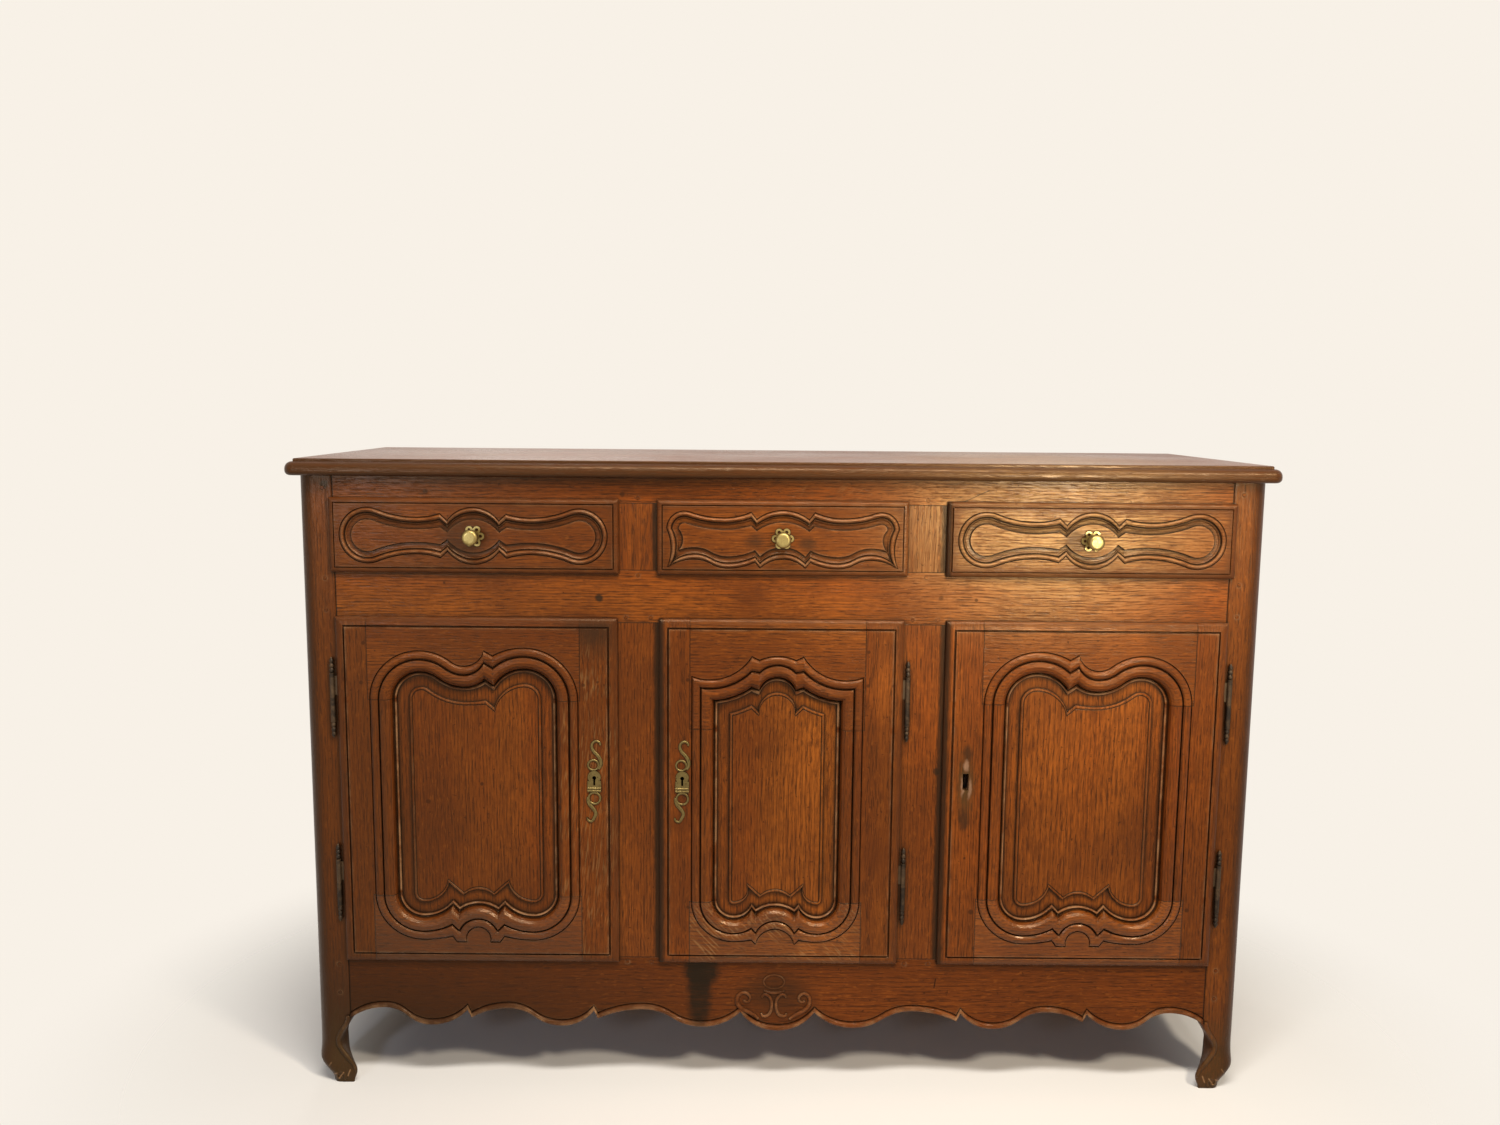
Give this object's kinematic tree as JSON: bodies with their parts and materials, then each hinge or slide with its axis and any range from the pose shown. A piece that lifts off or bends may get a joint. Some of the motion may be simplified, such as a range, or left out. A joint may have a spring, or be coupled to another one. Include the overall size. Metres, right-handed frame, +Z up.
{
  "type": "buffet",
  "caption": "Low oak sideboard with paneled doors in carved curved frames, lipped drawers above them, a scalloped apron and scroll feet.",
  "frame": {"origin": "on the floor, under the middle of the whole piece", "axes": "+Z up, -Y out of the front, +X to the right as one looks at the front"},
  "size_m": [1.65, 0.547, 1.1],
  "materials": {
    "oak": "waxed satin",
    "oak_inside": "bare and aged",
    "brass": "aged",
    "hinge_metal": "dark, worn brown",
    "iron": "dark"
  },
  "bodies": {
    "carcass": {"top_board": "oak", "front_left_post": "oak", "front_right_post": "oak", "back_left_post": "oak", "back_right_post": "oak", "top_rail": "oak", "middle_rail": "oak", "apron": "oak", "drawer_dividers": "oak", "left_door_divider": "oak", "right_door_divider": "oak", "side_rails": "oak", "side_panels": "oak", "back_rails": "oak_inside", "back_panels": "oak_inside", "bottom_board": "oak_inside", "shelf": "oak_inside", "board_cleats": "oak_inside", "drawer_runners": "oak_inside", "joint_pegs": "oak", "hinge_pintles": "hinge_metal"},
    "left_door": {"left_door_hinge_stile": "oak", "left_door_lock_stile": "oak", "left_door_top_rail": "oak", "left_door_bottom_rail": "oak", "left_door_panel": "oak", "left_door_hinge_knuckles": "hinge_metal", "left_door_lock_case": "iron", "left_door_escutcheon": "brass"},
    "center_door": {"center_door_hinge_stile": "oak", "center_door_lock_stile": "oak", "center_door_top_rail": "oak", "center_door_bottom_rail": "oak", "center_door_panel": "oak", "center_door_hinge_knuckles": "hinge_metal", "center_door_lock_case": "iron", "center_door_escutcheon": "brass"},
    "right_door": {"right_door_hinge_stile": "oak", "right_door_lock_stile": "oak", "right_door_top_rail": "oak", "right_door_bottom_rail": "oak", "right_door_panel": "oak", "right_door_hinge_knuckles": "hinge_metal", "right_door_lock_case": "iron"},
    "left_bolt": {"left_door_bolt": "iron"},
    "center_bolt": {"center_door_bolt": "iron"},
    "right_bolt": {"right_door_bolt": "iron"},
    "left_drawer": {"left_drawer_front": "oak", "left_drawer_box": "oak_inside", "left_drawer_bottom": "oak_inside", "left_drawer_knob": "brass"},
    "center_drawer": {"center_drawer_front": "oak", "center_drawer_box": "oak_inside", "center_drawer_bottom": "oak_inside", "center_drawer_knob": "brass"},
    "right_drawer": {"right_drawer_front": "oak", "right_drawer_box": "oak_inside", "right_drawer_bottom": "oak_inside", "right_drawer_knob": "brass"}
  },
  "joints": [
    {"name": "left_door_hinge", "type": "hinge", "parent": "carcass", "child": "left_door", "pos_m": [-0.761, -0.2369, 0], "axis": [0, 0, -1], "range_deg": [0, 150]},
    {"name": "center_door_hinge", "type": "hinge", "parent": "carcass", "child": "center_door", "pos_m": [0.215, -0.2369, 0], "axis": [0, 0, 1], "range_deg": [0, 110]},
    {"name": "right_door_hinge", "type": "hinge", "parent": "carcass", "child": "right_door", "pos_m": [0.761, -0.2369, 0], "axis": [0, 0, 1], "range_deg": [0, 150]},
    {"name": "left_drawer_slide", "type": "slide", "parent": "carcass", "child": "left_drawer", "axis": [0, -1, 0], "range_m": [0, 0.34]},
    {"name": "center_drawer_slide", "type": "slide", "parent": "carcass", "child": "center_drawer", "axis": [0, -1, 0], "range_m": [0, 0.34]},
    {"name": "right_drawer_slide", "type": "slide", "parent": "carcass", "child": "right_drawer", "axis": [0, -1, 0], "range_m": [0, 0.34]},
    {"name": "left_bolt_slide", "type": "slide", "parent": "left_door", "child": "left_bolt", "axis": [1, 0, 0], "range_m": [0, 0.012]},
    {"name": "center_bolt_slide", "type": "slide", "parent": "center_door", "child": "center_bolt", "axis": [-1, 0, 0], "range_m": [0, 0.012]},
    {"name": "right_bolt_slide", "type": "slide", "parent": "right_door", "child": "right_bolt", "axis": [-1, 0, 0], "range_m": [0, 0.012]}
  ]
}
